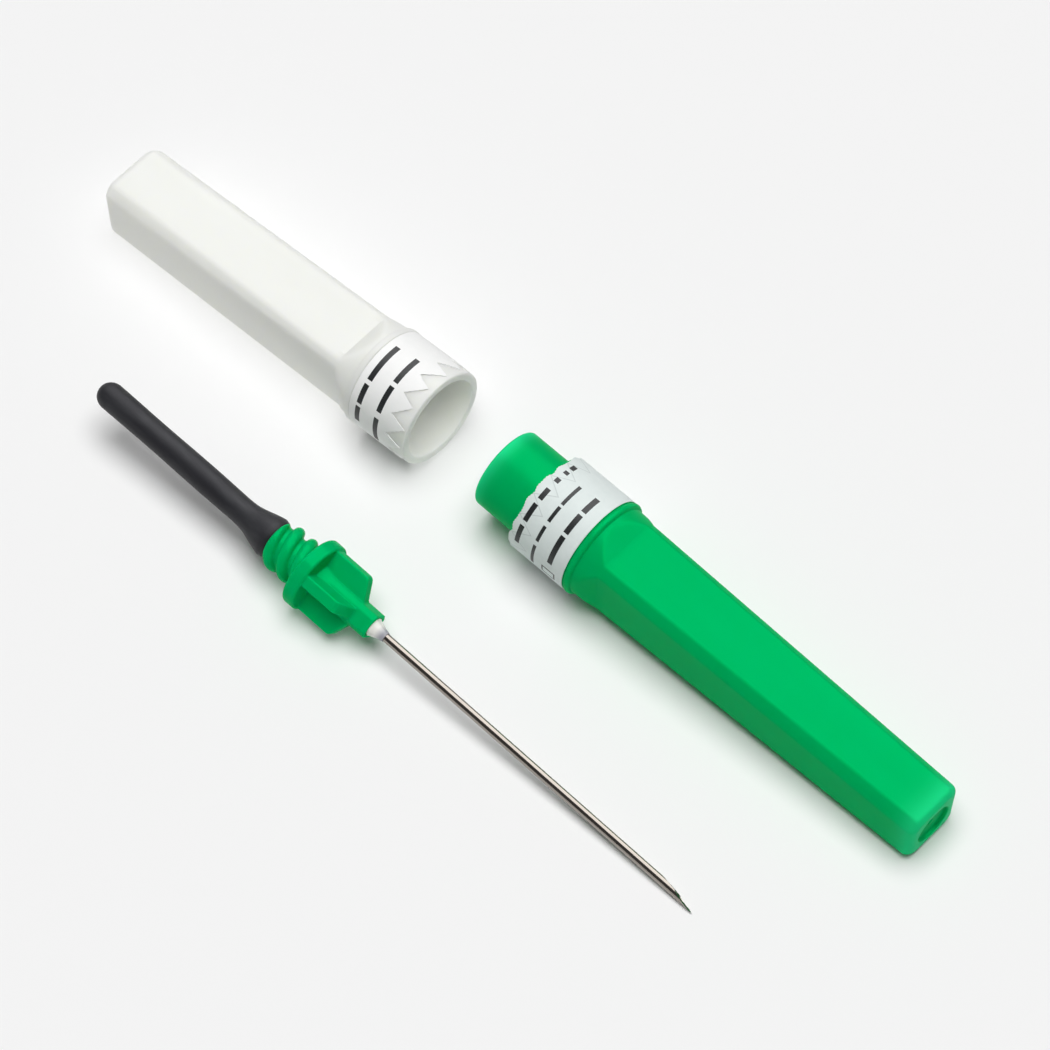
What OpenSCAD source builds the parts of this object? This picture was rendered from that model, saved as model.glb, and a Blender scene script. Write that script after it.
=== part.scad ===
// Blood collection needle, shown out of its two-part case.
// A double-ended steel needle is glued in a moulded hub. A rubber sleeve covers its rear end.
// The two halves of the case lie beside it, each with its half of the torn paper seal.
// Every piece is drawn along its own axis (+Z) and then laid down on the plane z = 0.

/* [Steel needle] */
// Outer diameter of the steel tube, 21 gauge
cannula_d = 0.82; // [0.7:0.01:0.95]
// Bore of the steel tube
cannula_bore = 0.51; // [0.4:0.01:0.6]
// Bare length from the nose of the hub to the patient point
patient_len = 38.1; // [25:0.1:42]
// Length behind the hub's thread, inside the rubber sleeve
vial_len = 18.6; // [12:0.1:20]
// Length of the ground bevel at the patient point
bevel_len = 4.1; // [2:0.1:5]
// Length of the two lancet facets that make the point
lancet_len = 1.8; // [0.8:0.1:1.9]
// Length of the plain bevel at the vial point
rear_bevel_len = 1.6; // [1:0.1:3]
// Turn of the bevel about the needle's axis, from upwards
bevel_turn = 66; // [0:1:180]

/* [Hub] */
// Diameter of the flange that stops against the holder
flange_d = 6.94; // [6:0.02:7.6]
// Thickness of the flange
flange_t = 1.3; // [0.8:0.05:2]
// Rounding of the flange's two rims
flange_round = 0.24; // [0.05:0.01:0.3]
// Crest diameter of the two-start thread
thread_d = 4.7; // [4.2:0.05:5.2]
// Depth of the thread
thread_depth = 0.62; // [0.3:0.02:0.7]
// Length of the threaded stretch
thread_len = 4.0; // [3:0.1:6]
// Depth of the shallow ring that the thread runs out into, in the flange's rear face
runout_depth = 0.1; // [0.05:0.01:0.2]
// Lead of one start, which is two crest spacings
thread_lead = 3.2; // [2.4:0.1:4]
// Turn of the thread about the needle's axis
thread_turn = 82; // [0:1:180]
// Diameter of the spigot that carries the rubber sleeve
spigot_d = 2.3; // [2:0.05:2.6]
// Length of that spigot
sleeve_spigot_len = 2.2; // [1:0.1:3]
// Reach of the four wings from the axis
wing_reach = 3.2; // [2.6:0.05:3.3]
// Thickness of a wing
wing_t = 1.12; // [0.8:0.02:1.4]
// Length of a wing at its full reach
wing_len = 3.8; // [2.5:0.1:4.4]
// Length of the slope from the wing down to the stem
wing_slope = 0.95; // [0.4:0.05:1.5]
// Turn of the wings about the needle's axis
wing_turn = 39; // [0:1:89]
// Distance from the flange to the nose of the stem
stem_len = 6.65; // [6.1:0.05:9]
// Width of the stem across its four main faces
stem_w = 2.36; // [2:0.02:2.8]
// Width of the stem across its four narrow corner faces
stem_corner_w = 2.74; // [2.4:0.02:3.2]
// Diameter of the glue well in the nose
well_d = 1.9; // [1.4:0.05:1.95]
// Depth of the glue well
well_depth = 1.6; // [0.8:0.1:2.5]
// Length of the glue cone that stands out of the well
glue_len = 1.42; // [0.8:0.02:2]

/* [Rubber sleeve] */
// Length of the sleeve from the thread to its closed tip
sleeve_len = 22.0; // [21:0.1:26]
// Diameter of the sleeve's tube
sleeve_d = 2.54; // [2.3:0.02:3]
// Diameter of the bulge over the hub's spigot
sleeve_bulge_d = 4.0; // [3.4:0.05:4.4]
// Diameter at the sleeve's open edge
sleeve_edge_d = 3.64; // [3.2:0.02:4]
// Length of the flared stretch
flare_len = 2.9; // [2:0.1:6]
// Diameter of the sleeve's bore around the steel tube
sleeve_bore_d = 1.3; // [1:0.05:1.6]

/* [Case, both halves] */
// Diameter of the green spigot that the other half slides over
case_spigot_d = 7.94; // [7.7:0.02:8.4]
// Bare length of that spigot
case_spigot_len = 5.1; // [3.5:0.1:6]
// Diameter of the collar that carries the paper seal
collar_d = 9.68; // [9.4:0.02:10.4]
// Diameter of the bead that guards the paper's edge
bead_d = 9.9; // [9.88:0.02:10.6]
// Thickness of the paper seal
paper_t = 0.08; // [0.05:0.01:0.1]
// Running clearance between the spigot and the socket, on the radius
socket_gap = 0.05; // [0.02:0.01:0.12]
// Distance of the flats from the axis at the thick end, as a share of the body's radius
flat_share = 0.78; // [0.76:0.01:0.86]
// The same share at the thin end
flat_share_end = 0.82; // [0.78:0.01:0.9]
// Wall between a flat and the inside of the case
case_wall = 0.78; // [0.5:0.02:0.9]

/* [Green needle sheath] */
// Overall length of the sheath
sheath_len = 50.15; // [48:0.05:56]
// Length of its collar, which the paper covers
sheath_collar_len = 6.35; // [5:0.05:8]
// Width of the bead ring beside the collar
bead_w = 0.7; // [0.4:0.05:1]
// Length of the round neck between the bead and the start of the flats
neck_len = 0.15; // [0.05:0.05:2]
// Body diameter at the neck, across the rounded corners
sheath_neck_d = 9.2; // [8.8:0.02:9.4]
// Body diameter at the narrow end, across the rounded corners
sheath_end_d = 7.5; // [7:0.02:8]
// Wall of the spigot
spigot_wall = 0.6; // [0.4:0.02:0.65]
// Diameter of the round recess in the narrow end
recess_d = 3.8; // [3:0.05:4.4]
// Depth of that recess
recess_depth = 0.8; // [0.4:0.05:1.2]
// Rounding of the edges at the narrow end
sheath_end_round = 0.5; // [0.2:0.05:0.8]

/* [White rear cap] */
// Overall length of the cap
cap_len = 38.85; // [30:0.05:42]
// Length of its collar, from the mouth to the step
cap_collar_len = 7.25; // [6:0.05:9]
// Body diameter next to the collar, across the rounded corners
cap_neck_d = 9.36; // [9:0.02:9.5]
// Body diameter at the closed end, across the rounded corners
cap_end_d = 8.72; // [8:0.02:9]
// Bare plastic between the paper's teeth and the mouth's rim, at the notches
tooth_len = 1.95; // [1:0.05:3]
// Number of torn teeth around the mouth
tooth_count = 14; // [8:1:20]
// Rounding of the edge at the closed end
cap_end_round = 1.0; // [0.4:0.05:1.4]

/* [How the pieces lie] */
// Distance of the sheath's mouth ahead of the flange
sheath_ahead = 5.92; // [0:0.01:20]
// Distance between the axes of the needle and the sheath's mouth
sheath_aside = 18.57; // [14:0.01:30]
// Heading of the sheath away from the needle's direction
sheath_heading = 0.39; // [-1:0.01:2]
// Distance of the cap's mouth behind the flange
cap_behind = 1.76; // [0:0.01:10]
// Distance between the axes of the needle and the cap's mouth
cap_aside = 18.41; // [14:0.01:30]
// Heading of the cap away from the needle's direction
cap_heading = 0.97; // [-1:0.01:2]

/* [Hidden] */

// Colours as the pieces look
hub_green = [0.0, 0.70, 0.36];
case_green = [0.0, 0.72, 0.38];
case_white = [0.93, 0.94, 0.92];
paper_white = [0.86, 0.89, 0.89];
steel_grey = [0.70, 0.69, 0.67];
rubber_black = [0.16, 0.16, 0.17];
glue_white = [0.90, 0.91, 0.93];

// Facets of a full round, and the hair of room that keeps fitted round faces from overlapping
round_fn = 96;
fit_gap = 0.02;
eps = 0.01;

// Needle: places along its own axis, from the flange's rear face towards the patient point
nose_z = flange_t + stem_len;
tip_z = nose_z + patient_len;
tube_r = cannula_d / 2;
tube_hole_r = tube_r + fit_gap;
flange_r = flange_d / 2;
thread_r = thread_d / 2;
thread_root_r = thread_r - thread_depth;
runout_r = thread_r + 0.06;
tube_rear_z = -thread_len - vial_len;
sleeve_end_z = -thread_len - sleeve_len;
glue_r = tube_r + 0.04;

// Case: places along each half's own axis, from its mouth towards its far end
case_spigot_r = case_spigot_d / 2;
collar_r = collar_d / 2;
bead_r = bead_d / 2;
socket_r = case_spigot_r + socket_gap;
spigot_bore_r = case_spigot_r - spigot_wall;
spigot_bore_len = case_spigot_len + 1.6;
bead_z = case_spigot_len + sheath_collar_len;
neck_z = bead_z + bead_w;
flats_z = neck_z + neck_len;
sheath_ramp = 2.1;
sheath_neck_r = sheath_neck_d / 2;
sheath_end_r = sheath_end_d / 2;
end_floor = 1.4;
socket_len = case_spigot_len + 0.4;
cap_shoulder_w = 0.65;
cap_neck_r = cap_neck_d / 2;
cap_end_r = cap_end_d / 2;
cap_flats_z = cap_collar_len + 0.15;
cap_ramp = 1.9;
cap_floor = 1.1;
mouth_round = 0.15;
shoulder_round = 0.1;

// Pitch and height of a round piece that lies on two rims. In section each rim is a small circle
// of radius e about a point at z along the axis, with its outside at r from the axis.
function lie_pitch(z1, r1, e1, z2, r2, e2) =
    let (run = z2 - z1, drop = (r1 - e1) - (r2 - e2))
    atan2(drop, run) + asin((e1 - e2) / sqrt(run * run + drop * drop));
function lie_height(pitch, z, r, e) = z * sin(pitch) + (r - e) * cos(pitch) + e;

// The needle lies on the flange's front rim and on the heel of its point
needle_rest_z = flange_t - flange_round;
tip_rest_z = tip_z - 0.325 * bevel_len;
needle_pitch = lie_pitch(needle_rest_z, flange_r, flange_round, tip_rest_z, tube_r, 0);
needle_height = lie_height(needle_pitch, needle_rest_z, flange_r, flange_round);

// The sheath lies on its bead and on the end of one flat
sheath_pitch = lie_pitch(bead_z + bead_w / 2, bead_r, bead_w / 2,
    sheath_len - sheath_end_round, sheath_end_r * flat_share_end, sheath_end_round);
sheath_height = lie_height(sheath_pitch, bead_z + bead_w / 2, bead_r, bead_w / 2);

// The cap lies on the shoulder of its collar and on the end of one flat
cap_rest_z = cap_collar_len - shoulder_round;
cap_pitch = lie_pitch(cap_rest_z, bead_r, shoulder_round,
    cap_len - cap_end_round, cap_end_r * flat_share_end, cap_end_round);
cap_height = lie_height(cap_pitch, cap_rest_z, bead_r, shoulder_round);

// The origin is under the middle of the whole layout
left_x = -cap_behind - ((cap_len - cap_end_round) * cos(cap_pitch)
    + (cap_end_r * flat_share_end - cap_end_round) * sin(cap_pitch)) * cos(cap_heading) - cap_end_round;
right_x = sheath_ahead + ((sheath_len - sheath_end_round) * cos(sheath_pitch)
    + (sheath_end_r * flat_share_end - sheath_end_round) * sin(sheath_pitch)) * cos(sheath_heading)
    + sheath_end_round;
near_y = -flange_r;
far_y = sheath_aside + (bead_z + bead_w / 2) * cos(sheath_pitch) * sin(sheath_heading) + bead_r;
needle_x = -(left_x + right_x) / 2;
needle_y = -(near_y + far_y) / 2;

// Lays a piece down: its +Z axis points along the heading, dipping by the pitch
module lay(x, y, height, heading, pitch) {
    translate([x, y, height]) rotate([0, 0, heading]) rotate([0, 90 + pitch, 0]) children();
}
module lay_needle() {
    lay(needle_x, needle_y, needle_height, 0, needle_pitch) children();
}
module lay_sheath() {
    lay(needle_x + sheath_ahead, needle_y + sheath_aside, sheath_height, sheath_heading,
        sheath_pitch) children();
}
module lay_cap() {
    lay(needle_x - cap_behind, needle_y + cap_aside, cap_height, 180 + cap_heading,
        cap_pitch) children();
}

// Points of an arc about c, from angle a to angle b, in n steps
function arc(c, r, a, b, n) =
    [for (i = [0:n]) c + r * [cos(a + (b - a) * i / n), sin(a + (b - a) * i / n)]];

// A solid turned from points [radius, z]
module turned(points) {
    rotate_extrude($fn = round_fn) polygon(points);
}

// Cuts four flats that follow a tapering body. A ramp goes down from the body's radius r0 at z0
// to f0 over the length lead. The flat goes from there to f1 at z1, and ends in a rounding e.
module four_flats(z0, r0, lead, f0, z1, f1, e, outer) {
    side = concat([[r0, z0], [f0, z0 + lead]],
        arc([f1 - e, z1 - e], e, 0, 90, 4), [[f1 - e, z1 + 1], [outer, z1 + 1], [outer, z0]]);
    for (k = [0:3]) rotate([0, 0, 90 * k]) rotate([90, 0, 0])
        linear_extrude(height = 2 * outer, center = true) polygon(side);
}

// Rounded crest of the two-start thread: radius of the surface at turn a and place z
function thread_wave(a, z) =
    let (s = (1 + cos(2 * (a - thread_turn) - 720 * z / thread_lead)) / 2)
    thread_root_r + thread_depth * pow(s, 0.8);

// The thread as rings of points, fading out over a short run at its free end
module thread_solid(z0, z1) {
    around = 40;
    rings = 26;
    fade = 0.55;
    points = [for (j = [0:rings]) let (z = z0 + (z1 - z0) * j / rings)
        for (i = [0:around - 1])
            let (a = 360 * i / around, room = min(1, (z - z0) / fade + 0.35),
                r = thread_root_r + (thread_wave(a, z) - thread_root_r) * room)
            [r * cos(a), r * sin(a), z]];
    quads = [for (j = [0:rings - 1]) for (i = [0:around - 1])
        let (k = (i + 1) % around)
        [[j * around + i, (j + 1) * around + i, (j + 1) * around + k],
         [j * around + i, (j + 1) * around + k, j * around + k]]];
    faces = concat([for (q = quads) q[0]], [for (q = quads) q[1]],
        [[for (i = [0:around - 1]) i]],
        [[for (i = [around - 1:-1:0]) rings * around + i]]);
    polyhedron(points, faces, convexity = 6);
}

// One wing, as a plate with a sloped front
module wing() {
    rotate([90, 0, 0]) linear_extrude(height = wing_t, center = true)
        polygon([[0, flange_t - eps], [wing_reach, flange_t - eps], [wing_reach, flange_t + wing_len],
            [stem_w / 2, flange_t + wing_len + wing_slope], [0, flange_t + wing_len + wing_slope]]);
}

// Square stem with narrow corner faces
module stem() {
    intersection() {
        rotate([0, 0, wing_turn]) translate([-stem_w / 2, -stem_w / 2, 0])
            cube([stem_w, stem_w, nose_z]);
        rotate([0, 0, wing_turn + 45]) translate([-stem_corner_w / 2, -stem_corner_w / 2, 0])
            cube([stem_corner_w, stem_corner_w, nose_z]);
    }
}

// Moulded hub: sleeve spigot, thread, flange, four wings and stem with the glue well
module hub() {
    flange_profile = concat([[0, 0]], arc([flange_r - flange_round, flange_round], flange_round, -90, 0, 4),
        arc([flange_r - flange_round, flange_t - flange_round], flange_round, 0, 90, 4), [[0, flange_t]]);
    color(hub_green) lay_needle() difference() {
        union() {
            difference() {
                turned(flange_profile);
                translate([0, 0, -1]) cylinder(r = runout_r, h = runout_depth + 1, $fn = round_fn);
            }
            thread_solid(-thread_len, runout_depth + 0.2);
            translate([0, 0, -thread_len - sleeve_spigot_len])
                cylinder(d = spigot_d, h = sleeve_spigot_len + 1, $fn = round_fn);
            translate([0, 0, flange_t - eps])
                cylinder(r1 = 1.9, r2 = stem_w / 2, h = 2.4, $fn = round_fn);
            for (k = [0:3]) rotate([0, 0, wing_turn + 90 * k]) wing();
            stem();
        }
        translate([0, 0, -thread_len - sleeve_spigot_len - 1])
            cylinder(r = tube_hole_r, h = nose_z + thread_len + sleeve_spigot_len + 2, $fn = round_fn);
        translate([0, 0, nose_z - well_depth]) cylinder(d = well_d, h = well_depth + 1, $fn = round_fn);
    }
}

// Steel tube with a three-facet point for the patient and a plain bevel for the vial
module cannula() {
    primary = atan((cannula_d * 0.72) / bevel_len);
    facet = atan((cannula_d * 0.62) / lancet_len);
    cut = 4;
    color(steel_grey) lay_needle() difference() {
        translate([0, 0, tube_rear_z]) cylinder(d = cannula_d, h = tip_z - tube_rear_z, $fn = round_fn);
        translate([0, 0, tube_rear_z - 1])
            cylinder(d = cannula_bore, h = tip_z - tube_rear_z + 2, $fn = round_fn);
        // Ground bevel, facing the turn angle
        rotate([0, 0, 180 - bevel_turn]) translate([tube_r, 0, tip_z - bevel_len])
            rotate([0, -primary, 0]) translate([0, -cut, -1]) cube([cut, 2 * cut, 3 * cut]);
        // Two lancet facets, turned to either side of the bevel, that meet in the point
        for (side = [-1, 1]) rotate([0, 0, 180 - bevel_turn + side * 38])
            translate([-tube_r * 0.80, 0, tip_z]) rotate([0, -facet, 0])
                translate([0, -cut, -2 * cut]) cube([cut, 2 * cut, 3 * cut]);
        // Plain bevel at the rear
        translate([-tube_r, 0, tube_rear_z]) rotate([0, -atan(rear_bevel_len / cannula_d), 0])
            translate([-cut, -cut, -cut]) cube([3 * cut, 2 * cut, cut]);
    }
}

// Rubber sleeve: closed tube with a flared base stretched over the hub's spigot
module rubber_sleeve() {
    tube_r0 = sleeve_d / 2;
    bulge_r = sleeve_bulge_d / 2;
    edge_r = sleeve_edge_d / 2;
    base_z = -thread_len;
    bulge_z = base_z - 0.7;
    steps = 8;
    flare = [for (i = [0:steps]) let (t = i / steps, s = (1 - cos(180 * t)) / 2)
        [bulge_r + (tube_r0 - bulge_r) * s, bulge_z - flare_len * t]];
    tip = arc([0, sleeve_end_z + tube_r0 * 0.97], tube_r0 * 0.97, 0, -90, 8);
    seat_r = spigot_d / 2 + fit_gap;
    seat_z = base_z - sleeve_spigot_len - 0.2;
    color(rubber_black) lay_needle() difference() {
        turned(concat([[0, base_z], [edge_r, base_z], [bulge_r, bulge_z + 0.25]], flare, tip));
        translate([0, 0, seat_z]) cylinder(r = seat_r, h = base_z - seat_z + 1, $fn = round_fn);
        translate([0, 0, tube_rear_z - 1])
            cylinder(d = sleeve_bore_d, h = seat_z - tube_rear_z + 1.5, $fn = round_fn);
    }
}

// Glue: fills the well and stands out as a hollow-sided cone around the steel tube
module adhesive_bead() {
    plug_r = well_d / 2 - fit_gap;
    steps = 6;
    cone = [for (i = [0:steps]) let (t = i / steps)
        [glue_r + (plug_r - glue_r) * (1 - t) * (1 - 0.35 * t), nose_z + glue_len * t]];
    color(glue_white) lay_needle() difference() {
        turned(concat([[0, nose_z - well_depth], [plug_r, nose_z - well_depth]], cone,
            [[0, nose_z + glue_len]]));
        translate([0, 0, nose_z - well_depth - 1])
            cylinder(r = tube_hole_r, h = well_depth + glue_len + 2, $fn = round_fn);
    }
}

// Green half of the case: spigot, collar, bead, round neck and a tapering body with four flats
module needle_sheath() {
    outside = concat([[0, 0]], arc([case_spigot_r - 0.35, 0.35], 0.35, -90, 0, 4),
        [[case_spigot_r, case_spigot_len], [collar_r, case_spigot_len], [collar_r, bead_z]],
        arc([bead_r - bead_w / 2, bead_z + bead_w / 2], bead_w / 2, -90, 90, 8),
        [[sheath_neck_r, neck_z], [sheath_neck_r, flats_z]],
        arc([sheath_end_r - sheath_end_round, sheath_len - sheath_end_round], sheath_end_round, 0, 90, 4),
        [[0, sheath_len]]);
    far_z = sheath_len - recess_depth - end_floor;
    deep_r = sheath_neck_r * flat_share - case_wall;
    far_r = sheath_end_r * flat_share_end - case_wall;
    color(case_green) lay_sheath() difference() {
        turned(outside);
        four_flats(flats_z, sheath_neck_r, sheath_ramp, sheath_neck_r * flat_share, sheath_len,
            sheath_end_r * flat_share_end, sheath_end_round, sheath_neck_r + 1);
        translate([0, 0, -1]) cylinder(r = spigot_bore_r, h = spigot_bore_len + 1, $fn = round_fn);
        translate([0, 0, spigot_bore_len - eps])
            cylinder(r1 = spigot_bore_r, r2 = deep_r, h = 1.5, $fn = round_fn);
        translate([0, 0, spigot_bore_len + 1.4])
            cylinder(r1 = deep_r, r2 = far_r, h = far_z - spigot_bore_len - 1.4, $fn = round_fn);
        translate([0, 0, sheath_len - recess_depth]) cylinder(d = recess_d, h = 2, $fn = round_fn);
    }
}

// White half of the case: collar with the socket, and a tapering body with four flats
module rear_cap() {
    outside = concat([[0, 0]], arc([collar_r - mouth_round, mouth_round], mouth_round, -90, 0, 3),
        [[collar_r, cap_collar_len - cap_shoulder_w]],
        arc([bead_r - shoulder_round, cap_collar_len - cap_shoulder_w + shoulder_round], shoulder_round,
            -90, 0, 2),
        arc([bead_r - shoulder_round, cap_rest_z], shoulder_round, 0, 90, 3),
        [[cap_neck_r, cap_collar_len + 0.1]],
        arc([cap_end_r - cap_end_round, cap_len - cap_end_round], cap_end_round, 0, 90, 6),
        [[0, cap_len]]);
    inner_neck_r = cap_neck_r - case_wall;
    inner_end_r = cap_end_r - case_wall;
    inner_len = cap_len - cap_floor - socket_len;
    color(case_white) lay_cap() difference() {
        turned(outside);
        four_flats(cap_flats_z, cap_neck_r, cap_ramp, cap_neck_r * flat_share, cap_len,
            cap_end_r * flat_share_end, cap_end_round, cap_neck_r + 1);
        translate([0, 0, -1]) cylinder(r = socket_r, h = socket_len + 1, $fn = round_fn);
        difference() {
            translate([0, 0, socket_len - eps])
                cylinder(r1 = inner_neck_r, r2 = inner_end_r, h = inner_len, $fn = round_fn);
            four_flats(cap_flats_z - 0.2, inner_neck_r, cap_ramp, cap_neck_r * flat_share - case_wall,
                cap_len, cap_end_r * flat_share_end - case_wall, 0.1, cap_neck_r + 1);
        }
    }
}

// A band of paper around a collar, from a torn edge given as a list of z to a straight edge at z1
module torn_band(r, t, torn, z1) {
    n = len(torn);
    points = concat([for (i = [0:n - 1]) [r * cos(360 * i / n), r * sin(360 * i / n), torn[i]]],
        [for (i = [0:n - 1]) [(r + t) * cos(360 * i / n), (r + t) * sin(360 * i / n), torn[i]]],
        [for (i = [0:n - 1]) [(r + t) * cos(360 * i / n), (r + t) * sin(360 * i / n), z1]],
        [for (i = [0:n - 1]) [r * cos(360 * i / n), r * sin(360 * i / n), z1]]);
    faces = [for (b = [0:3]) for (i = [0:n - 1])
        let (k = (i + 1) % n, p = b * n, q = ((b + 1) % 4) * n)
        for (f = [[p + i, q + i, q + k], [p + i, q + k, p + k]]) f];
    polyhedron(points, faces, convexity = 6);
}

// Paper on the green collar, with a ragged edge along the collar's shoulder
module sheath_label() {
    n = 120;
    torn = [for (i = [0:n - 1]) let (a = 360 * i / n)
        case_spigot_len + 0.16 + 0.10 * sin(9 * a) + 0.05 * sin(23 * a + 40)];
    color(paper_white) lay_sheath()
        torn_band(collar_r + fit_gap / 2, paper_t - fit_gap / 2, torn, bead_z - fit_gap);
}

// Paper on the white collar, torn into teeth towards the mouth
module cap_label() {
    steps = 10;
    n = tooth_count * steps;
    torn = [for (i = [0:n - 1]) let (t = (i % steps) / steps, rise = t < 0.7 ? t / 0.7 : (1 - t) / 0.3)
        0.12 + tooth_len * (1 - rise)];
    color(paper_white) lay_cap()
        torn_band(collar_r + fit_gap / 2, paper_t - fit_gap / 2, torn,
            cap_collar_len - cap_shoulder_w - fit_gap);
}

hub();
cannula();
rubber_sleeve();
adhesive_bead();
needle_sheath();
sheath_label();
rear_cap();
cap_label();
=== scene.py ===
# A double-ended blood collection needle beside the two open halves of its case.
# Every piece is worked out along its own axis (+Z, in millimetres) and then laid down
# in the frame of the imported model, in metres.
import math

import bpy
import numpy as np
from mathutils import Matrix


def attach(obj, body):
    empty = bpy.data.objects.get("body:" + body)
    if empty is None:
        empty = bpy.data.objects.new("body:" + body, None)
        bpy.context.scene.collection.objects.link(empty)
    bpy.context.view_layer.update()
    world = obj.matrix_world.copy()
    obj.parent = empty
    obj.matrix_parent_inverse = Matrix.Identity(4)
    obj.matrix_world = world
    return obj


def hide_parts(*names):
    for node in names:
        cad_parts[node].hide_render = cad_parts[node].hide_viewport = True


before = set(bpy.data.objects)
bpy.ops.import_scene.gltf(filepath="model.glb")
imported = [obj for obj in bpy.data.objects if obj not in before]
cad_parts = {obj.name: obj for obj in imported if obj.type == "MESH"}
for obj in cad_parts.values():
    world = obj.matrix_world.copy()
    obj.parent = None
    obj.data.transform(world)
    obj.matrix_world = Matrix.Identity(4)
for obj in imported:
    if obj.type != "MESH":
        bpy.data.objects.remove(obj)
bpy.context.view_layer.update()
print("frame loaded:", ", ".join(sorted(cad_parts)))

mm = 0.001
fullTurn = 2 * math.pi

# where each piece's own origin lies, its heading and how far its axis dips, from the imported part
needlePlace = {"at": (-7.7268, -10.06511, 3.53622), "heading": 0.0, "pitch": 4.01013}
sheathPlace = {"at": (-1.8068, 8.50489, 5.52814), "heading": 0.39, "pitch": 2.8357}
capPlace = {"at": (-9.4868, 8.34489, 5.26481), "heading": 180.97, "pitch": 2.56241}


# camera: the photograph's view, 1050 x 1050, looking at a point on the floor between the pieces
view = {
    "target": (1.350, 7.811, 0.0),   # mm
    "distance": 444.32,              # mm
    "azimuth": 43.487,               # degrees
    "elevation": 59.0,
    "lens": 171.43,                  # mm on a 36 mm sensor
}


def setCamera(v):
    # the camera stands back from the target, turned by the azimuth and raised by the elevation
    az, el = math.radians(v["azimuth"]), math.radians(v["elevation"])
    back = np.array([math.sin(az) * math.cos(el), -math.cos(az) * math.cos(el), math.sin(el)])
    data = bpy.data.cameras.new("photoCamera")
    data.sensor_width = 36
    data.lens = v["lens"]
    data.clip_start = 0.01
    data.clip_end = 20
    data.dof.use_dof = False
    cam = bpy.data.objects.new("photoCamera", data)
    cam.location = (np.array(v["target"]) + v["distance"] * back) * mm
    cam.rotation_euler = (math.pi / 2 - el, 0, az)
    bpy.context.scene.collection.objects.link(cam)
    bpy.context.scene.camera = cam


setCamera(view)
bpy.context.scene.view_settings.view_transform = "Standard"
print("camera set")


# shapes: rows of points that close round an axis

def layDown(points, place):
    # turned by 90 degrees and the pitch about Y, then by the heading about Z, then moved
    tilt, turn = math.radians(90 + place["pitch"]), math.radians(place["heading"])
    x, y, z = points[..., 0], points[..., 1], points[..., 2]
    ahead = x * math.cos(tilt) + z * math.sin(tilt)
    up = z * math.cos(tilt) - x * math.sin(tilt)
    turned = np.stack([ahead * math.cos(turn) - y * math.sin(turn),
                       ahead * math.sin(turn) + y * math.cos(turn), up], -1)
    return (turned + np.array(place["at"])) * mm


def aroundAxis(radius, z):
    # point at angle a and row v: (radius cos a, radius sin a, z), radius and z given per row or per point
    cols = radius.shape[1]
    a = np.arange(cols) * fullTurn / cols
    return np.stack([radius * np.cos(a), radius * np.sin(a), np.broadcast_to(z, radius.shape)], -1)


def gridFaces(rows, cols, wrapRows=False):
    # four corners for each cell of a grid that closes across its columns, and its rows if asked
    r, c = np.meshgrid(np.arange(rows if wrapRows else rows - 1), np.arange(cols), indexing="ij")
    down, right = (r + 1) % rows, (c + 1) % cols
    return np.stack([r * cols + c, r * cols + right, down * cols + right, down * cols + c],
                    -1).reshape(-1, 4)


def closedShell(points):
    # a grid of rows with its first and last row closed onto their middle points
    rows, cols = points.shape[:2]
    verts = np.concatenate([points.reshape(-1, 3), points[:1].mean(1), points[-1:].mean(1)])
    c = np.arange(cols)
    right, none = (c + 1) % cols, np.full(cols, -1)
    first = np.stack([np.full(cols, rows * cols), right, c, none], -1)
    last = np.stack([np.full(cols, rows * cols + 1), (rows - 1) * cols + c,
                     (rows - 1) * cols + right, none], -1)
    return verts, np.concatenate([gridFaces(rows, cols), first, last])


def ringShell(points):
    # a grid whose rows and columns both close, such as a band of paper
    rows, cols = points.shape[:2]
    return points.reshape(-1, 3), gridFaces(rows, cols, True)


def joinShells(shells):
    # several shells as one list of points and faces
    start = np.cumsum([0] + [len(s[0]) for s in shells[:-1]])
    faces = [np.where(s[1] < 0, -1, s[1] + k) for s, k in zip(shells, start)]
    return np.concatenate([s[0] for s in shells]), np.concatenate(faces)


def makePiece(name, shell, place, materials, faceMaterial=None, faceUv=None, crease=34):
    verts, faces = shell
    verts = layDown(np.asarray(verts, float), place)
    isQuad = faces[:, 3] >= 0
    # volume by the divergence theorem: a shell that is inside out gets its faces turned
    a, b, c, d = (verts[faces[:, k]] for k in range(4))
    volume = np.einsum("ij,ij->", a, np.cross(b, c))
    volume += np.einsum("ij,ij->", a[isQuad], np.cross(c[isQuad], d[isQuad]))
    count = np.where(isQuad, 4, 3)
    order = np.where(isQuad[:, None], [0, 1, 2, 3], [0, 1, 2, 3])
    if volume < 0:
        order = np.where(isQuad[:, None], [3, 2, 1, 0], [2, 1, 0, 3])
    corner = np.take_along_axis(faces, order, 1)
    keep = corner >= 0
    mesh = bpy.data.meshes.new(name)
    mesh.vertices.add(len(verts))
    mesh.vertices.foreach_set("co", verts.astype(np.float32).ravel())
    mesh.loops.add(int(count.sum()))
    mesh.loops.foreach_set("vertex_index", corner[keep].astype(np.int32))
    mesh.polygons.add(len(faces))
    mesh.polygons.foreach_set("loop_start", np.concatenate([[0], np.cumsum(count)[:-1]]).astype(np.int32))
    mesh.polygons.foreach_set("use_smooth", np.ones(len(faces), bool))
    for m in materials:
        mesh.materials.append(m)
    if faceMaterial is not None:
        mesh.polygons.foreach_set("material_index", faceMaterial.astype(np.int32))
    if faceUv is not None:
        uv = np.take_along_axis(faceUv, order[:, :, None], 1)[keep]
        mesh.uv_layers.new(name="paper").data.foreach_set("uv", uv.astype(np.float32).ravel())
    mesh.update(calc_edges=True)
    mesh.validate()
    mesh.set_sharp_from_angle(angle=math.radians(crease))
    piece = bpy.data.objects.new(name, mesh)
    bpy.context.scene.collection.objects.link(piece)
    return piece


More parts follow.
